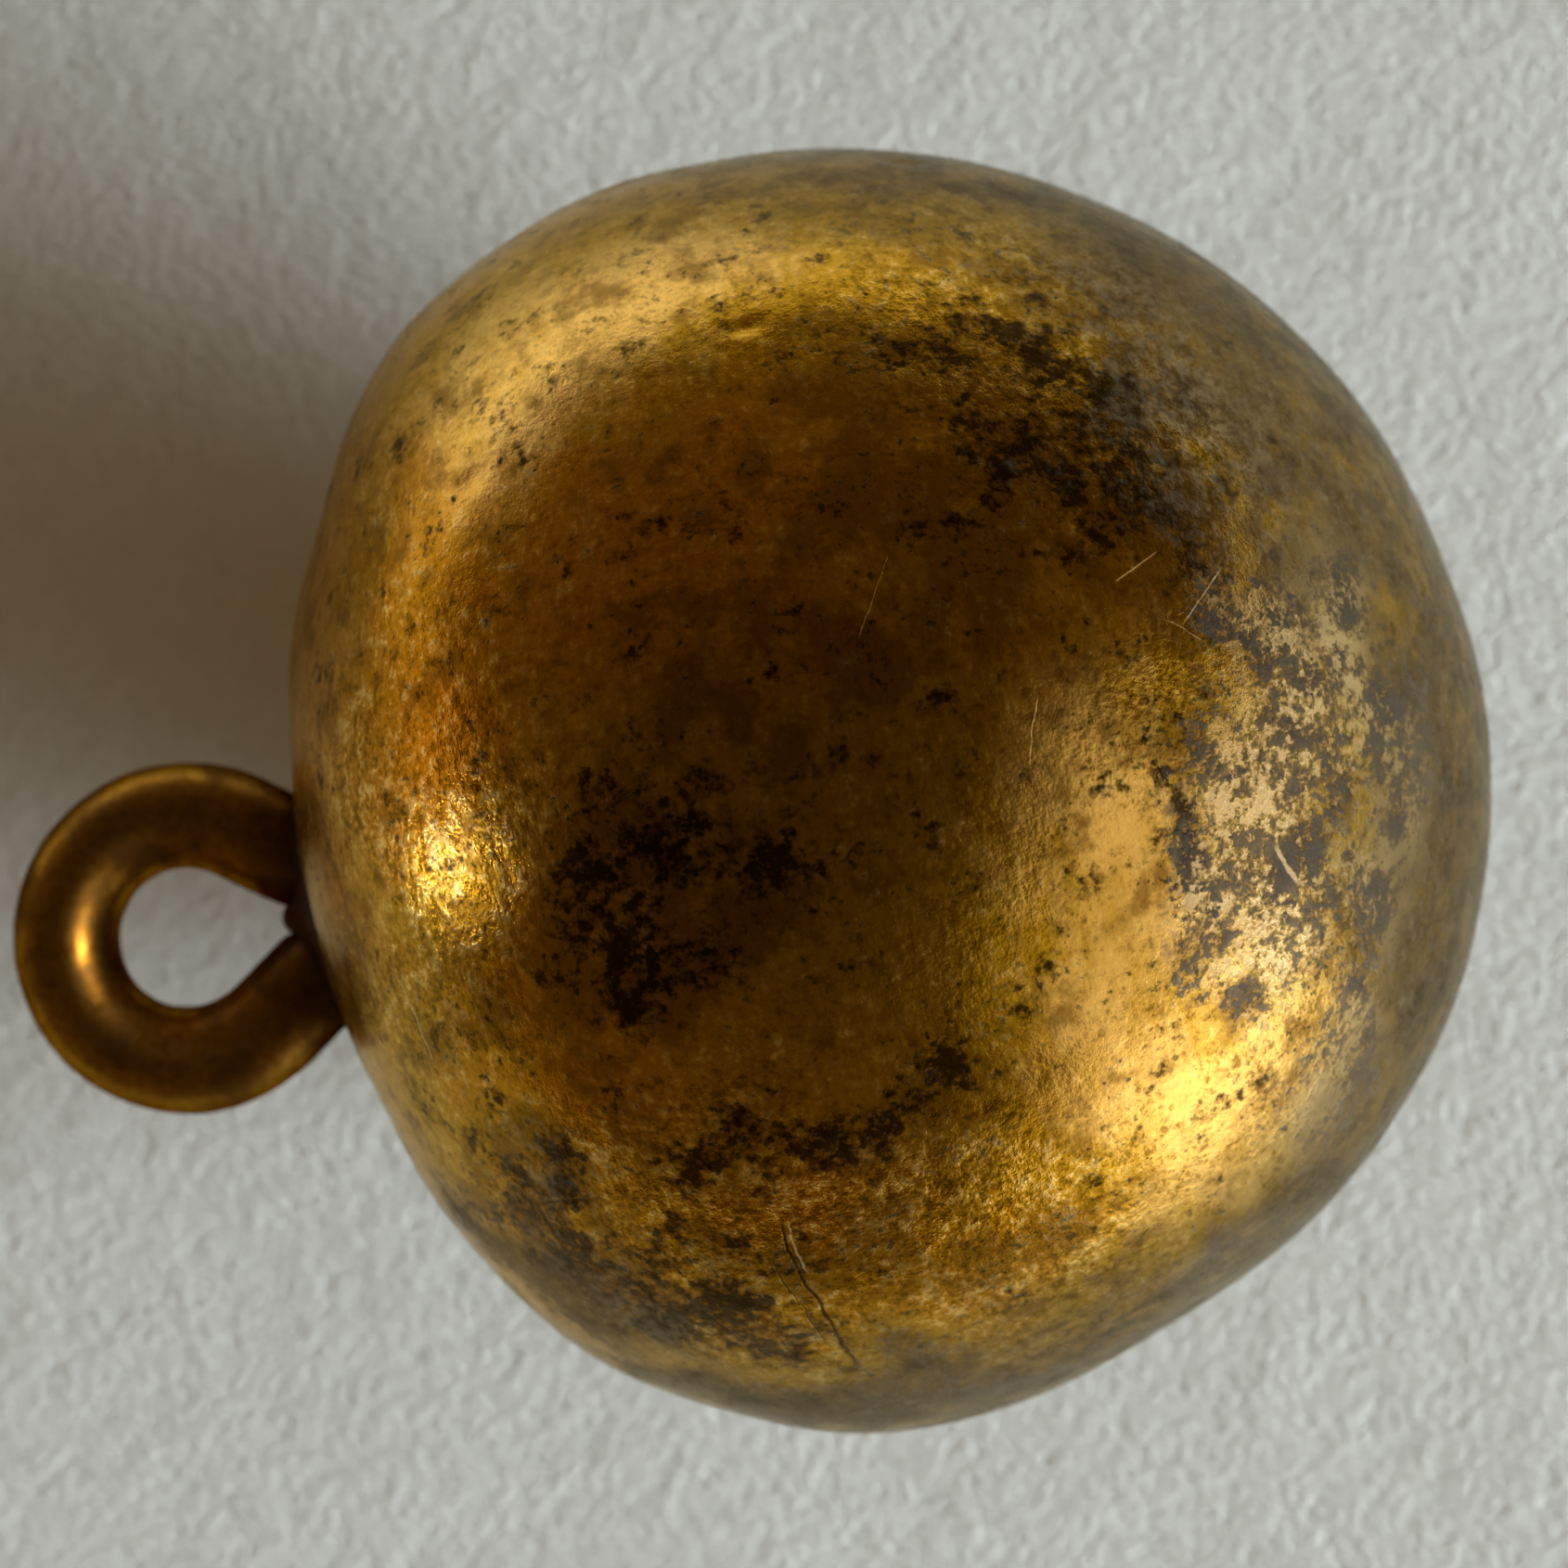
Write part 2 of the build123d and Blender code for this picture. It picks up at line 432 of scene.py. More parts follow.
# ---------------------------------------------------------------- node materials
class Nodes:
    """Short calls for a material's nodes; every value may be a number or another node's socket."""

    def __init__(self, name):
        self.material = bpy.data.materials.new(name)
        self.material.use_nodes = True
        self.tree = self.material.node_tree
        self.tree.nodes.clear()

    def add(self, kind, inputs=(), **settings):
        node = self.tree.nodes.new(kind)
        for key, value in settings.items():
            setattr(node, key, value)
        for key, value in dict(inputs).items():
            if isinstance(value, bpy.types.NodeSocket):
                self.tree.links.new(value, node.inputs[key])
            else:
                node.inputs[key].default_value = value
        return node

    def math(self, operation, a, b=0.0, clamp=False):
        node = self.add("ShaderNodeMath", {0: a, 1: b}, operation=operation, use_clamp=clamp)
        return node.outputs[0]

    def ramp(self, value, low, high, out_low=0.0, out_high=1.0, smooth=True):
        node = self.add(
            "ShaderNodeMapRange",
            {0: value, 1: low, 2: high, 3: out_low, 4: out_high},
            interpolation_type="SMOOTHSTEP" if smooth else "LINEAR",
        )
        return node.outputs[0]

    def noise(self, vector, scale, detail=4.0, rough=0.6, warp=0.0):
        node = self.add(
            "ShaderNodeTexNoise",
            {"Vector": vector, "Scale": scale, "Detail": detail, "Roughness": rough},
        )
        node.inputs["Distortion"].default_value = warp
        return node.outputs["Fac"]

    def even_noise(self, vector, scale, detail, rough, place=(0, 0, 0)):
        """Noise with mean 0 and standard deviation 1."""
        steps = np.power(rough, np.arange(detail + 1))
        spread = 0.125 * np.sqrt((steps**2).sum()) / steps.sum()
        found = self.noise(self.move(vector, place=place), scale, detail, rough)
        return self.add(
            "ShaderNodeMath", {0: found, 1: 1 / spread, 2: -0.5 / spread}, operation="MULTIPLY_ADD"
        ).outputs[0]

    def total(self, *parts):
        """Weighted sum of (value, weight) parts."""
        found = self.math("MULTIPLY", *parts[0])
        for value, weight in parts[1:]:
            found = self.add(
                "ShaderNodeMath", {0: value, 1: weight, 2: found}, operation="MULTIPLY_ADD"
            ).outputs[0]
        return found

    def move(self, vector, place=(0, 0, 0), turn=(0, 0, 0), scale=(1, 1, 1)):
        node = self.add(
            "ShaderNodeMapping",
            {"Vector": vector, "Location": place, "Rotation": turn, "Scale": scale},
        )
        return node.outputs[0]

    def mix(self, share, a, b):
        node = self.add("ShaderNodeMix", data_type="RGBA")
        for key, value in ((0, share), (6, a), (7, b)):
            if isinstance(value, bpy.types.NodeSocket):
                self.tree.links.new(value, node.inputs[key])
            else:
                node.inputs[key].default_value = value if key == 0 else (*value, 1)
        return node.outputs[2]

    def stroke(self, vector, centre, length, turn, width):
        """1 along a straight thin mark on the upper side, seen from above."""
        shifted = self.add(
            "ShaderNodeVectorMath", {0: vector, 1: (*centre, 0)}, operation="SUBTRACT"
        )
        turned = self.move(shifted.outputs[0], turn=(0, 0, radians(-turn)))
        parts = self.add("ShaderNodeSeparateXYZ", {0: turned}).outputs
        line = self.ramp(self.math("ABSOLUTE", parts[1]), width, width * 0.3)
        ends = self.ramp(self.math("ABSOLUTE", parts[0]), length / 2, length / 2 - 0.12)
        above = self.ramp(parts[2], 0.5, 1.0)
        return self.math("MULTIPLY", self.math("MULTIPLY", line, ends), above)

    def finish(self, surface):
        output = self.tree.nodes.new("ShaderNodeOutputMaterial")
        self.tree.links.new(surface, output.inputs["Surface"])
        return self.material


def highest(nodes, values):
    found = values[0]
    for value in values[1:]:
        found = nodes.math("MAXIMUM", found, value)
    return found


# Patches on the ball, in millimetres from the girth's centre with the first axis along the
# button's axis turned VIEW_TURN about the vertical: centre, radii, turn in degrees.
VIEW_TURN = 12.8
GREY_PATCHES = (
    ((4.9, 0.3, 4.8), (1.2, 2.4, 2.2), 8),
    ((4.5, -1.1, 5.0), (1.0, 1.5, 1.8), 30),
    ((4.7, 1.7, 4.7), (1.0, 1.1, 1.7), 0),
    ((5.4, 0.3, 3.3), (1.3, 2.8, 1.8), 8),
    ((5.2, -2.6, 3.0), (0.9, 1.5, 1.6), 20),
    ((3.9, -5.0, 1.6), (2.2, 0.8, 2.2), 35),
    ((1.9, -5.9, 2.0), (1.8, 0.6, 1.4), 8),
)
HAZE_PATCHES = (
    ((4.5, 3.8, 3.5), (2.0, 2.3, 2.5), -45),
    ((3.4, 5.2, 3.0), (2.2, 1.3, 2.2), -30),
    ((5.6, 2.2, 3.4), (1.3, 2.4, 2.6), -10),
    ((6.1, -0.6, 2.6), (1.1, 3.6, 3.0), 0),
    ((4.9, -4.2, 1.6), (2.0, 0.8, 2.0), 42),
    ((0.4, -6.1, 2.5), (4.4, 0.7, 1.8), 2),
    ((-2.3, -4.9, 3.4), (2.4, 1.1, 2.2), -32),
)
DARK_PATCHES = (
    ((3.2, 3.2, 5.1), (2.5, 1.8, 2.2), -40),
    ((3.8, 2.5, 5.2), (1.2, 1.5, 1.5), 20),
    ((2.1, 4.0, 5.0), (1.8, 1.1, 1.4), -20),
    ((-1.3, -0.5, 6.5), (1.3, 1.3, 1.0), 15),
    ((-1.1, -1.6, 6.4), (1.2, 1.3, 1.0), 40),
    ((-0.2, -0.2, 6.7), (1.6, 1.1, 0.9), 0),
    ((0.6, -3.4, 5.7), (1.7, 0.6, 1.1), 12),
    ((1.6, -2.9, 5.9), (1.5, 0.6, 1.1), 10),
    ((-3.8, 3.1, 4.1), (0.35, 0.6, 0.6), -25),
    ((4.05, -0.1, 5.3), (0.45, 1.5, 1.1), 8),
    ((4.6, 1.5, 5.0), (0.9, 0.5, 0.8), -10),
    ((-2.2, -4.3, 4.3), (1.9, 1.2, 1.6), -30),
    ((-0.6, -4.9, 4.4), (2.2, 0.8, 1.4), 0),
)
GRAINY_PATCHES = (
    ((4.9, -0.2, 4.6), (2.0, 4.6, 3.4), 10),
    ((3.0, 3.6, 4.6), (3.0, 2.0, 2.6), -40),
    ((0.6, -4.4, 5.0), (5.0, 2.0, 3.0), 0),
    ((-3.2, -0.6, 5.2), (1.8, 3.2, 2.6), 0),
)
ORANGE_PATCHES = (
    ((-3.6, 1.0, 5.2), (2.4, 3.8, 3.2), 0),
    ((-2.0, -3.4, 5.2), (1.8, 2.2, 2.2), 0),
    ((-0.9, 2.6, 6.0), (3.0, 2.0, 1.8), 0),
    ((-2.5, -1.7, 5.6), (1.2, 2.4, 1.8), 0),
    ((0.6, -4.6, 4.8), (3.4, 1.3, 2.0), 0),
)
# Scratches on the upper side: centre, length, turn in degrees, half width.
DARK_SCRATCHES = (
    ((0.40, -4.91), 1.70, -67, 0.034),
    ((0.22, -4.95), 1.10, -62, 0.016),
    ((-2.04, -3.96), 0.66, 6, 0.034),
    ((-2.26, -4.22), 0.52, -63, 0.034),
    ((-0.55, -5.25), 1.20, -38, 0.012),
    ((1.10, 1.90), 0.90, 72, 0.012),
)
BRIGHT_SCRATCHES = (
    ((5.02, -0.66), 0.55, -58, 0.030),
    ((4.72, -1.30), 0.40, 48, 0.022),
    ((-1.12, -1.32), 0.13, 70, 0.040),
    ((0.25, -4.38), 0.60, -66, 0.016),
    ((-3.55, -2.20), 0.90, -66, 0.014),
    ((2.60, 0.60), 0.70, 84, 0.010),
    ((4.20, 1.95), 0.70, 58, 0.010),
    ((4.05, 1.60), 0.50, -30, 0.009),
    ((3.55, 2.20), 0.60, 38, 0.008),
)
FRESH_PATCHES = (
    ((4.1, -3.0, 4.6), (2.2, 1.9, 2.2), -30),
    ((-2.5, 4.1, 4.6), (3.4, 1.5, 2.2), 40),
    ((-3.2, -0.7, 5.5), (1.0, 1.4, 1.2), 0),
    ((3.4, -0.9, 5.8), (1.2, 2.6, 1.6), 10),
    ((-4.5, 0.8, 4.0), (1.0, 3.4, 2.4), 0),
)
SMUDGES = (
    ((0.4, 1.4, 6.6), (2.4, 1.0, 1.4), 4),
    ((2.4, 3.3, 5.2), (3.8, 2.4, 2.8), -35),
    ((1.2, -4.5, 4.8), (3.4, 1.1, 1.8), 5),
    ((-1.2, -1.0, 6.4), (2.0, 1.8, 1.6), 10),
    ((-2.4, -1.9, 5.5), (1.2, 2.2, 1.8), 10),
    ((-2.2, -4.4, 4.2), (2.0, 1.6, 2.0), -30),
)
PATCHES = {
    "grey": GREY_PATCHES,
    "haze": HAZE_PATCHES,
    "dark": DARK_PATCHES,
    "grainy": GRAINY_PATCHES,
    "orange": ORANGE_PATCHES,
    "fresh": FRESH_PATCHES,
    "smudge": SMUDGES,
}


def gilt_material():
    """Worn gilding over brass, with brown and grey tarnish, fine turning lines and specks."""
    n = Nodes("gilt_brass")
    place = n.add("ShaderNodeTexCoord").outputs["Object"]
    centred = n.add(
        "ShaderNodeVectorMath", {0: place, 1: (GIRTH_X * MM, 0, 0)}, operation="SUBTRACT"
    )
    own = n.move(centred.outputs[0], scale=(1 / MM,) * 3)
    seen = n.move(own, turn=(0, 0, radians(VIEW_TURN)))

    def inside(kind):
        return n.add("ShaderNodeAttribute", attribute_name=kind).outputs["Fac"]

    # fine lines run round the axis: noise stretched across it
    split = n.add("ShaderNodeSeparateXYZ", {0: own})

    def run_round(fineness, stretch):
        parts = [n.math("MULTIPLY", split.outputs[0], fineness)]
        parts += [n.math("MULTIPLY", split.outputs[k], fineness / stretch) for k in (1, 2)]
        return n.add("ShaderNodeCombineXYZ", dict(enumerate(parts))).outputs[0]

    big = n.even_noise(own, 0.42, 4, 0.55)
    mottle = n.even_noise(own, 1.4, 4, 0.6, (3.1, 0.7, 2.2))
    cluster = n.even_noise(own, 2.6, 4, 0.6, (1.3, 5.9, 8.1))
    cluster_2 = n.even_noise(own, 2.0, 5, 0.62, (-4.1, 2.6, 3.7))
    fleck = n.even_noise(own, 6.5, 4, 0.65, (9.2, 4.4, 0.8))
    fleck_2 = n.even_noise(own, 7.5, 4, 0.65, (-2.7, 6.6, 5.1))
    grain = n.even_noise(own, 15.0, 3, 0.65)
    lines = n.even_noise(run_round(14.0, 3.0), 1.0, 4, 0.6)
    wide_lines = n.even_noise(run_round(4.0, 3.5), 1.0, 4, 0.6)

    # on the lower half the patches come from broad noise instead of from the lists
    under = n.ramp(n.add("ShaderNodeSeparateXYZ", {0: own}).outputs[2], 2.4, 0.4)
    loose_grey = n.ramp(n.even_noise(own, 0.6, 3, 0.5, (6.0, 1.0, 3.0)), 0.3, 2.4)
    loose_dark = n.ramp(n.even_noise(own, 0.8, 3, 0.5, (2.0, 8.0, 5.0)), 0.4, 2.4)
    loose_haze = n.ramp(n.even_noise(own, 0.35, 4, 0.6, (4.0, 2.0, 9.0)), -1.6, 1.8, 0.1, 0.95)
    loose_grey = n.math("MULTIPLY", loose_grey, n.math("MULTIPLY", under, 0.8))
    loose_dark = n.math("MULTIPLY", loose_dark, n.math("MULTIPLY", under, 0.75))
    loose_haze = n.math("MULTIPLY", loose_haze, under)
    grainy = n.ramp(inside("grainy"), 0.0, 0.7, 0.55, 1.35)

    grey_at = n.math("MAXIMUM", n.ramp(inside("grey"), -0.05, 0.7), loose_grey)
    chips = n.total((fleck, 0.55), (grain, 0.50), (cluster, 0.40), (mottle, 0.50), (lines, 0.12))
    slate = n.ramp(n.total((chips, 1.0), (grey_at, 1.55)), 0.5, 2.5)
    slate = n.math("MULTIPLY", slate, n.ramp(n.total((grey_at, 1.0), (chips, 0.12)), 0.22, 0.62))
    pale = n.math("MULTIPLY", n.ramp(chips, 0.6, -1.6), grey_at)
    dark_at = n.math("MAXIMUM", n.ramp(inside("dark"), -0.1, 0.9), loose_dark)
    dark = n.total((cluster_2, 0.75), (fleck_2, 0.55), (grain, 0.34), (lines, 0.14), (dark_at, 2.6))
    dark = n.ramp(dark, 0.5, 3.4)
    pits = n.ramp(n.total((fleck_2, 0.6), (grain, 0.6), (mottle, 0.5), (grainy, 0.7)), 1.9, 3.4)
    brown = n.math("MAXIMUM", dark, n.math("MULTIPLY", pits, 0.8))
    wavering = n.total((cluster, 0.006), (mottle, 0.008))
    nudged = n.add("ShaderNodeVectorMath", {0: seen, 1: wavering}, operation="ADD").outputs[0]
    cut = highest(n, [n.stroke(nudged, *mark) for mark in DARK_SCRATCHES])
    shine = highest(n, [n.stroke(nudged, *mark) for mark in BRIGHT_SCRATCHES])
    brown = n.math("MAXIMUM", brown, n.math("MULTIPLY", cut, 0.9))

    orange = n.ramp(n.total((inside("orange"), 1.0), (big, 0.12)), -0.1, 0.6)
    fresh = n.total((inside("fresh"), 1.2), (big, 0.22), (wide_lines, 0.12))
    fresh = n.ramp(fresh, -0.1, 0.9)
    smudge = n.ramp(inside("smudge"), 0.0, 0.8)
    thin = n.total((cluster_2, -0.4), (mottle, 0.75), (wide_lines, 0.3), (smudge, 1.9))
    thin = n.ramp(thin, -0.2, 2.2)
    tone = n.total((fleck, 0.6), (lines, 0.35), (grain, 0.6), (cluster, 0.38), (wide_lines, 0.18))
    tone = n.math("MULTIPLY", tone, grainy)
    haze = n.total((inside("haze"), 1.5), (mottle, 0.12), (fleck, 0.10), (lines, 0.08))
    haze = n.math("MAXIMUM", n.ramp(haze, 0.0, 1.0), loose_haze)

    colour = n.mix(fresh, (0.56, 0.305, 0.012), (0.90, 0.54, 0.12))
    colour = n.mix(n.math("MULTIPLY", orange, 0.85), colour, (0.62, 0.255, 0.004))
    colour = n.mix(n.ramp(tone, 0.0, 2.4, 0.0, 0.85), colour, (1.0, 0.66, 0.18))
    colour = n.mix(n.ramp(tone, 0.0, -2.4, 0.0, 0.80), colour, (0.20, 0.088, 0.003))
    colour = n.mix(n.math("MULTIPLY", thin, 0.70), colour, (0.20, 0.088, 0.003))
    colour = n.mix(n.math("MULTIPLY", brown, 0.94), colour, (0.018, 0.007, 0.002))
    dust_and_rim_shade = n.mix(n.ramp(tone, -2.4, 2.4), (0.066, 0.050, 0.033), (0.27, 0.215, 0.145))
    colour = n.mix(n.math("MULTIPLY", haze, 0.72), colour, dust_and_rim_shade)
    colour = n.mix(n.math("MULTIPLY", pale, 0.85), colour, (0.93, 0.69, 0.35))
    colour = n.mix(n.math("MULTIPLY", slate, 0.92), colour, (0.085, 0.074, 0.062))
    colour = n.mix(n.math("MULTIPLY", shine, 0.55), colour, (1.0, 0.72, 0.38))

    # Painted shade: the colour turns dull and dark towards the outline as the surface turns away
    # from the camera, strong towards the face and weak towards the back. The same mask lowers the
    # metal and greys the edge tint there. Its dull colour is shared with the real dust patches.
    facing = n.add("ShaderNodeLayerWeight").outputs["Facing"]
    side = n.add("ShaderNodeSeparateXYZ", {0: seen}).outputs[0]
    painted_rim_shade = n.math("MULTIPLY", n.ramp(facing, 0.32, 0.76), n.ramp(side, -4.0, 1.5, 0.04, 0.85))
    painted_rim_shade = n.math("MULTIPLY", painted_rim_shade, n.ramp(cluster, -1.5, 1.5, 1.1, 0.75), clamp=True)
    colour = n.mix(painted_rim_shade, colour, dust_and_rim_shade)
    edge = n.mix(n.math("MAXIMUM", painted_rim_shade, haze), (1.0, 0.88, 0.66), (0.64, 0.58, 0.48))

    rough = n.ramp(mottle, -2.0, 2.0, 0.21, 0.31, smooth=False)
    rough = n.total((rough, 1.0), (brown, 0.10), (slate, 0.05), (lines, 0.012))
    metal = n.math("SUBTRACT", 1.0, n.total((slate, 0.12), (painted_rim_shade, 0.08)), clamp=True)
    relief = n.total(
        (lines, 0.00035),
        (grain, 0.00050),
        (fleck, 0.00075),
        (mottle, 0.0008),
    )
    relief = n.math("MULTIPLY", relief, grainy)
    relief = n.total(
        (relief, 1.0),
        (brown, -0.002),
        (cut, -0.005),
        (shine, -0.003),
        (slate, 0.002),
    )
    bump = n.add("ShaderNodeBump", {"Strength": 1.0, "Distance": MM, "Height": relief})

    shader = n.add(
        "ShaderNodeBsdfPrincipled",
        {
            "Base Color": colour,
            "Metallic": metal,
            "Roughness": rough,
            "Specular Tint": edge,
            "Normal": bump.outputs[0],
        },
    )
    return n.finish(shader.outputs[0])


def wire_material():
    """Drawn brass wire, darker and smoother than the ball, with dirt in its low spots and painted
    shade where it runs in under the ball.
    """
    n = Nodes("shank_brass")
    place = n.add("ShaderNodeTexCoord").outputs["Object"]
    own = n.move(place, scale=(1 / MM,) * 3)
    mottle = n.noise(own, 1.8, 6.0, 0.65, 0.4)
    grain = n.noise(own, 11.0, 5.0, 0.65)
    dirt = n.ramp(n.math("ADD", mottle, n.math("MULTIPLY", grain, 0.3)), 0.55, 0.85)
    colour = n.mix(n.ramp(grain, 0.3, 0.7), (0.25, 0.11, 0.014), (0.45, 0.23, 0.034))
    colour = n.mix(n.math("MULTIPLY", dirt, 0.85), colour, (0.10, 0.050, 0.018))
    along = n.add("ShaderNodeSeparateXYZ", {"Vector": own}).outputs["X"]
    # Painted shade: the wire turns near black towards the ball, where its legs run in under the
    # ball's back, and its reflection tint dims there too.
    painted_foot_shade = n.ramp(n.total((along, 1.0), (mottle, 0.4)), 0.7, 1.9, 0.0, 0.88)
    colour = n.mix(painted_foot_shade, colour, (0.045, 0.022, 0.008))
    rough = n.ramp(mottle, 0.25, 0.75, 0.27, 0.38, smooth=False)
    rough = n.math("ADD", rough, n.math("MULTIPLY", dirt, 0.12))
    relief = n.math("ADD", n.math("MULTIPLY", grain, 0.002), n.math("MULTIPLY", mottle, 0.006))
    bump = n.add("ShaderNodeBump", {"Strength": 1.0, "Distance": MM, "Height": relief})
    shader = n.add(
        "ShaderNodeBsdfPrincipled",
        {
            "Base Color": colour,
            "Metallic": 1.0,
            "Roughness": rough,
            "Specular Tint": n.mix(painted_foot_shade, (0.42, 0.30, 0.15), (0.16, 0.12, 0.08)),
            "Normal": bump.outputs[0],
        },
    )
    return n.finish(shader.outputs[0])


def filler_material(name, clean, dull, scale):
    """Braze or solder: granular filler metal under a dull skin."""
    n = Nodes(name)
    place = n.add("ShaderNodeTexCoord").outputs["Object"]
    own = n.move(place, scale=(1 / MM,) * 3)
    mottle = n.noise(own, scale, 7.0, 0.7, 0.6)
    grain = n.noise(own, scale * 6, 5.0, 0.7)
    skin_share = n.ramp(n.math("ADD", mottle, n.math("MULTIPLY", grain, 0.5)), 0.6, 0.95)
    colour = n.mix(skin_share, clean, dull)
    rough = n.ramp(mottle, 0.2, 0.8, 0.38, 0.7, smooth=False)
    relief = n.math("ADD", n.math("MULTIPLY", grain, 0.016), n.math("MULTIPLY", mottle, 0.05))
    bump = n.add("ShaderNodeBump", {"Strength": 1.0, "Distance": MM, "Height": relief})
    metal = n.math("SUBTRACT", 1.0, n.math("MULTIPLY", skin_share, 0.5))
    shader = n.add(
        "ShaderNodeBsdfPrincipled",
        {
            "Base Color": colour,
            "Metallic": metal,
            "Roughness": rough,
            "Specular IOR Level": 0.15,
            "Specular Tint": (0.45, 0.34, 0.22, 1),
            "Normal": bump.outputs[0],
        },
    )
    return n.finish(shader.outputs[0])


def paper_material():
    """Pale rag paper with a soft tooth."""
    n = Nodes("paper")
    place = n.add("ShaderNodeTexCoord").outputs["Object"]
    own = n.move(place, scale=(1 / MM,) * 3)
    tooth = n.noise(own, 2.4, 4.0, 0.55)
    pulp = n.noise(own, 0.5, 3.0, 0.5)
    colour = n.mix(n.ramp(tooth, 0.3, 0.7), (0.60, 0.635, 0.63), (0.68, 0.71, 0.695))
    colour = n.mix(n.ramp(pulp, 0.3, 0.7), colour, (0.64, 0.67, 0.665))
    felt = n.noise(own, 9.0, 4.0, 0.65)
    colour = n.mix(n.ramp(felt, 0.25, 0.75, 0.0, 0.8), colour, (0.76, 0.79, 0.775))
    relief = n.total((tooth, 0.05), (pulp, 0.09), (felt, 0.09))
    bump = n.add("ShaderNodeBump", {"Strength": 0.8, "Distance": MM, "Height": relief})
    shader = n.add(
        "ShaderNodeBsdfPrincipled",
        {"Base Color": colour, "Roughness": 0.95, "Normal": bump.outputs[0]},
    )
    shader.inputs["Specular IOR Level"].default_value = 0.1
    return n.finish(shader.outputs[0])


# ---------------------------------------------------------------- build the pieces
gilt = gilt_material()
front_skin(gilt)
back_skin(gilt)
shank_wire(wire_material())
# The braze is coloured near black: partly the dark filler itself, partly painted shade in the
# crotch between the legs where they meet the ball.
braze_mound(filler_material("braze", (0.10, 0.052, 0.018), (0.020, 0.012, 0.007), 2.2))
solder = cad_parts["seam_solder"]
solder.data.materials.clear()
solder.data.materials.append(
    filler_material("soft_solder", (0.42, 0.41, 0.39), (0.12, 0.11, 0.10), 1.6)
)

# ---------------------------------------------------------------- floor, lights, camera
FLOOR_HALF = 0.45
floor_mesh = bpy.data.meshes.new("floor")
corners = [(-1, -1), (1, -1), (1, 1), (-1, 1)]
floor_mesh.from_pydata(
    [(x * FLOOR_HALF, y * FLOOR_HALF, FLOOR_Z * MM) for x, y in corners], [], [(0, 1, 2, 3)]
)
floor_mesh.materials.append(paper_material())
floor = bpy.data.objects.new("floor", floor_mesh)
bpy.context.scene.collection.objects.link(floor)


def area_light(name, place, target, size, energy, colour, diffuse, glossy):
    """A soft rectangular light; diffuse and glossy say which reflections it gives."""
    data = bpy.data.lights.new(name, "AREA")
    data.shape = "RECTANGLE"
    data.size, data.size_y = size
    data.energy = energy
    data.color = colour
    light = bpy.data.objects.new(name, data)
    light.location = place
    light.rotation_euler = (Vector(target) - Vector(place)).to_track_quat("-Z", "Y").to_euler()
    light.visible_camera = False
    light.visible_diffuse = diffuse
    light.visible_glossy = glossy
    bpy.context.scene.collection.objects.link(light)
    return light


WINDOW_DISTANCE = 0.5


def window(name, azimuth, half_width, low, high, energy, colour, diffuse, glossy):
    """An upright window of light, given by the angles it fills, in degrees."""
    bottom, top = (WINDOW_DISTANCE * tan(radians(angle)) for angle in (low, high))
    turn = radians(azimuth)
    middle = (bottom + top) / 2
    place = (WINDOW_DISTANCE * cos(turn), WINDOW_DISTANCE * sin(turn), middle)
    size = (2 * WINDOW_DISTANCE * tan(radians(half_width)), top - bottom)
    area_light(name, place, (0, 0, middle), size, energy, colour, diffuse, glossy)


window("key_for_paper", -29, 15, 2, 17, 7.15, (0.93, 1.0, 1.01), True, False)
window("fill_for_paper", -29, 48, 4, 50, 1.2, (0.95, 1.0, 0.99), True, False)
window("key_for_metal", -30, 32, 0, 46, 0.64, (1.0, 0.96, 0.88), False, True)

# Small cards that only the metal mirrors: place, the point they face, size (all mm), radiance,
# colour and spread in degrees.
CARDS = {
    "low_card": ((31.9, -37.3, 1.5), (10.2, -3.65, 1.5), (35, 28), 0.92, (1.0, 0.95, 0.98), 180),
    "lower_card": ((25.6, -22.6, -2.0), (10.6, -4.4, 4.2), (14, 7), 0.95, (1.0, 0.95, 0.92), 180),
    "horizon_card": ((-1.0, 28.8, -2.5), (6.8, 0, -2.5), (80, 8), 0.72, (1.0, 0.95, 0.88), 180),
    "crescent_card": ((-10.8, 23.3, 4.1), (4.6, 3.6, 5.0), (13, 4), 0.58, (0.97, 1.0, 1.45), 180),
    "glint": ((-2.0, 0.04, 5.74), (3.6, -0.06, 5.53), (0.34, 0.46), 5.8, (0.88, 1.0, 1.35), 40),
    "left_card": ((-2.2, 2.4, 5.2), (3.6, 1.6, 5.3), (4.2, 1.6), 0.10, (1.0, 0.62, 0.28), 70),
    "eye_glint": ((1.95, -0.47, 3.86), (-1.05, -0.05, 0.5), (1.0, 0.5), 5.0, (1.0, 0.9, 0.7), 50),
}
for name, (place, target, size, radiance, colour, spread) in CARDS.items():
    place, target = (tuple(value * MM for value in point) for point in (place, target))
    width, tall = (value * MM for value in size)
    light = area_light(
        name, place, target, (width, tall), radiance * pi * width * tall, colour, False, True
    )
    light.data.spread = radians(spread)

# The room: warm fill for the paper, near darkness overhead and a brown glow low down for the
# metal, and a plain pale backdrop for the camera.
world = bpy.data.worlds.new("room")
bpy.context.scene.world = world
world.use_nodes = True
world.cycles.sampling_method = "NONE"
tree = world.node_tree
tree.nodes.clear()


def world_node(kind, **inputs):
    node = tree.nodes.new(kind)
    for key, value in inputs.items():
        socket = node.inputs[key.replace("_", " ")]
        if isinstance(value, bpy.types.NodeSocket):
            tree.links.new(value, socket)
        else:
            socket.default_value = value
    return node


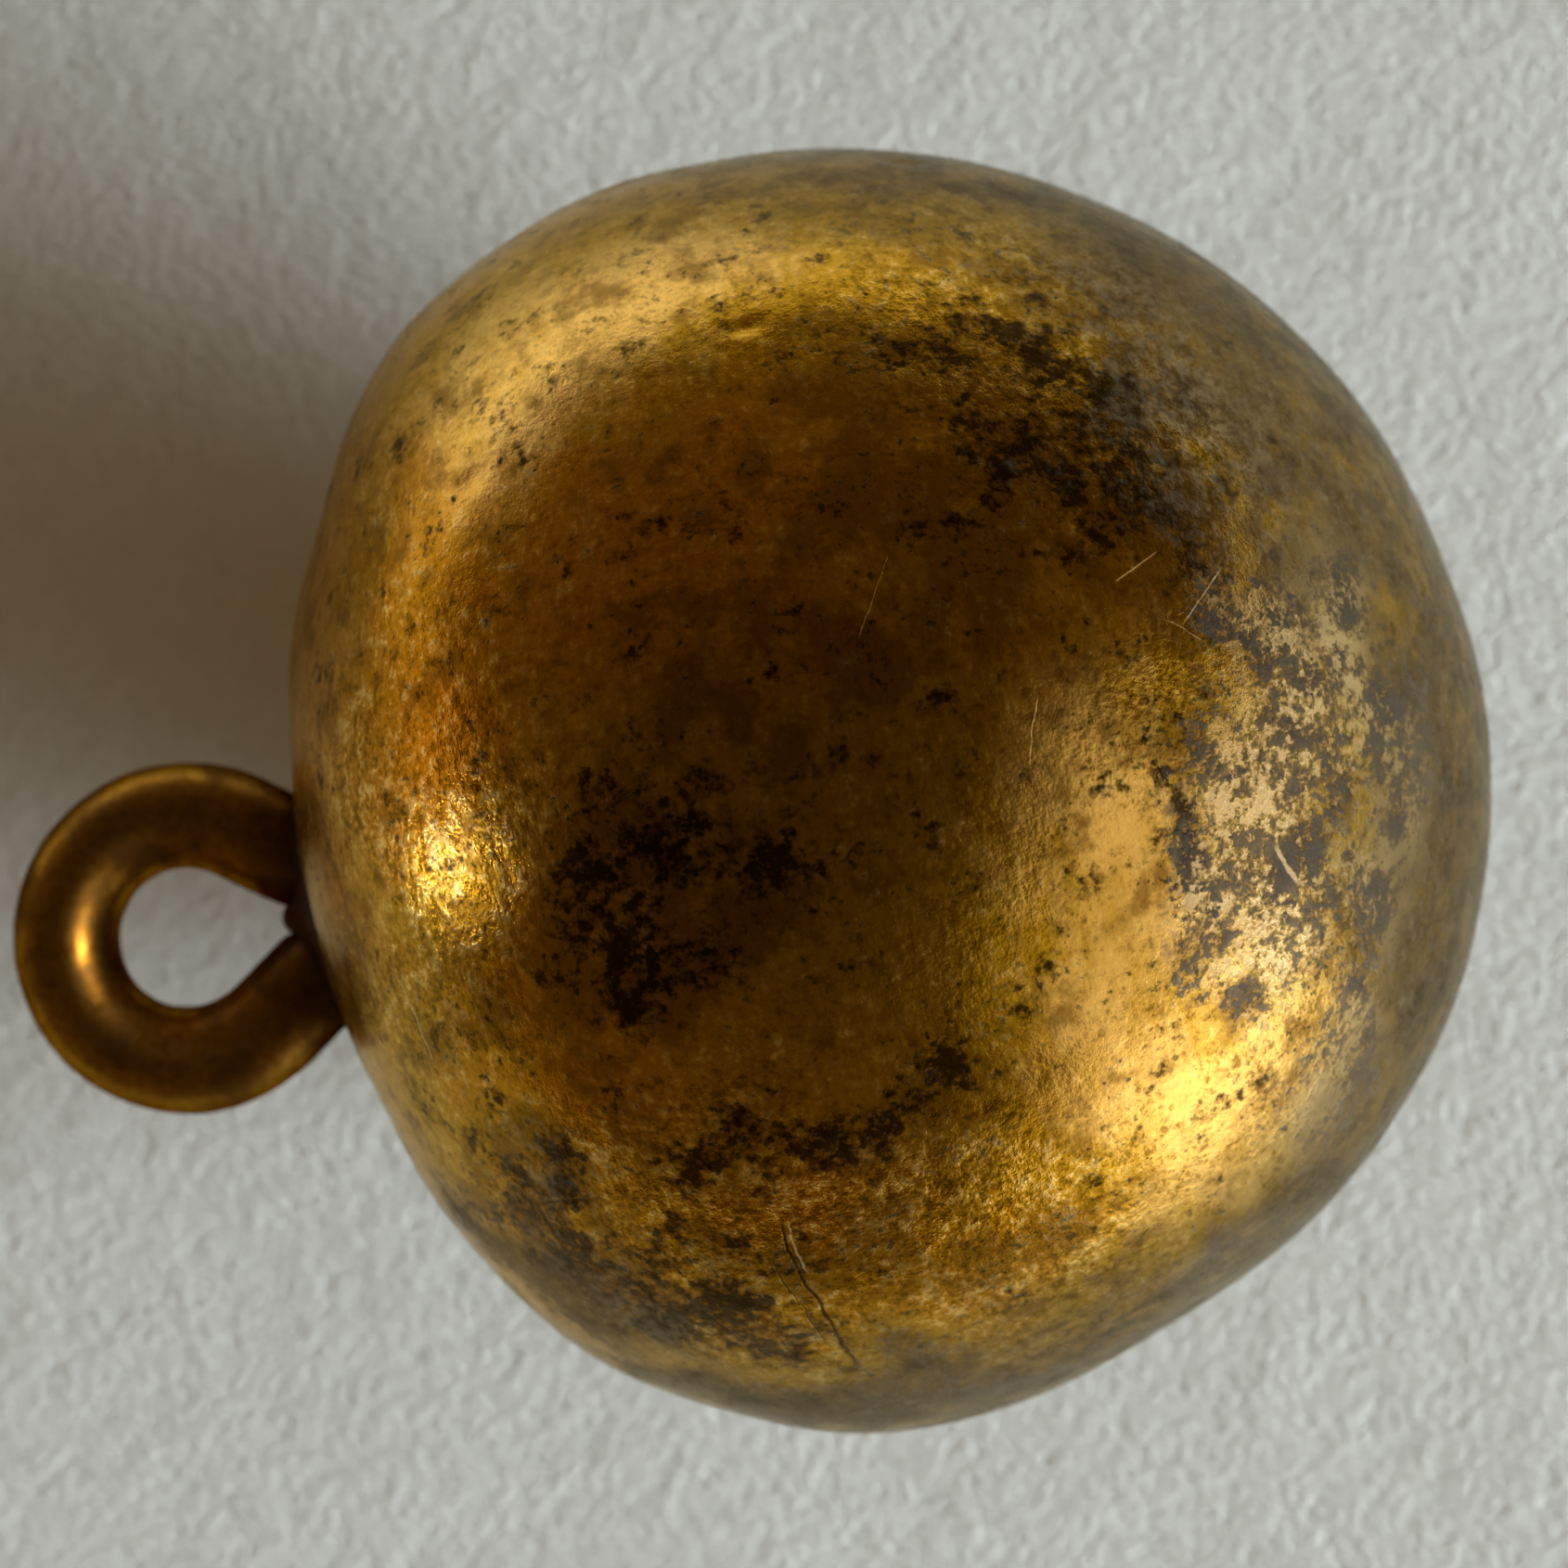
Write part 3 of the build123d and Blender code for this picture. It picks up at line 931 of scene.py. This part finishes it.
direction = world_node("ShaderNodeTexCoord").outputs["Generated"]
height = world_node("ShaderNodeSeparateXYZ", Vector=direction).outputs["Z"]
glow = world_node(
    "ShaderNodeMapRange", Value=height, From_Min=0.15, From_Max=0.95, To_Min=0.165, To_Max=0.054
).outputs[0]
room = world_node("ShaderNodeBackground", Color=(1.0, 0.64, 0.22, 1), Strength=glow)
fill = world_node("ShaderNodeBackground", Color=(1.0, 0.63, 0.27, 1), Strength=0.160)
backdrop = world_node("ShaderNodeBackground", Color=(0.47, 0.49, 0.48, 1), Strength=1.0)
path = world_node("ShaderNodeLightPath").outputs
inside = tree.nodes.new("ShaderNodeMixShader")
choose = tree.nodes.new("ShaderNodeMixShader")
for node, share, first, second in (
    (inside, path["Is Diffuse Ray"], room, fill),
    (choose, path["Is Camera Ray"], inside, backdrop),
):
    tree.links.new(share, node.inputs[0])
    tree.links.new(first.outputs[0], node.inputs[1])
    tree.links.new(second.outputs[0], node.inputs[2])
output = tree.nodes.new("ShaderNodeOutputWorld")
tree.links.new(choose.outputs[0], output.inputs["Surface"])

VIEW_TILT = radians(5)  # the camera leans towards the face
CAMERA_DISTANCE = 70.0
SENSOR_WIDTH = 7.0
LENS = 29.86
APERTURE = 36.0
FOCUS_PLACE = (6.8, 0, 5.4)  # on the upper side of the ball, which is what is sharp
look_right = Vector((cos(radians(-VIEW_TURN)), sin(radians(-VIEW_TURN)), 0))
look_up = Vector((-look_right.y, look_right.x, 0))
aim = Vector((6.519, 0.184, 0.0))
back_off = look_right * sin(VIEW_TILT) + Vector((0, 0, cos(VIEW_TILT)))
eye = aim + back_off * CAMERA_DISTANCE
camera_data = bpy.data.cameras.new("camera")
camera_data.sensor_fit = "HORIZONTAL"
camera_data.sensor_width = SENSOR_WIDTH
camera_data.lens = LENS
camera_data.clip_start = 0.002
camera_data.clip_end = 10.0
camera = bpy.data.objects.new("camera", camera_data)
across = look_up.cross(back_off).normalized()
upward = back_off.cross(across)
axes = Matrix((across, upward, back_off)).transposed()
camera.matrix_world = Matrix.Translation(eye * MM) @ axes.to_4x4()
bpy.context.scene.collection.objects.link(camera)
bpy.context.scene.camera = camera
focus = bpy.data.objects.new("focus", None)
focus.location = Vector(FOCUS_PLACE) * MM
bpy.context.scene.collection.objects.link(focus)
camera_data.dof.use_dof = True
camera_data.dof.focus_object = focus
camera_data.dof.aperture_fstop = APERTURE
bpy.context.scene.view_settings.view_transform = "Standard"
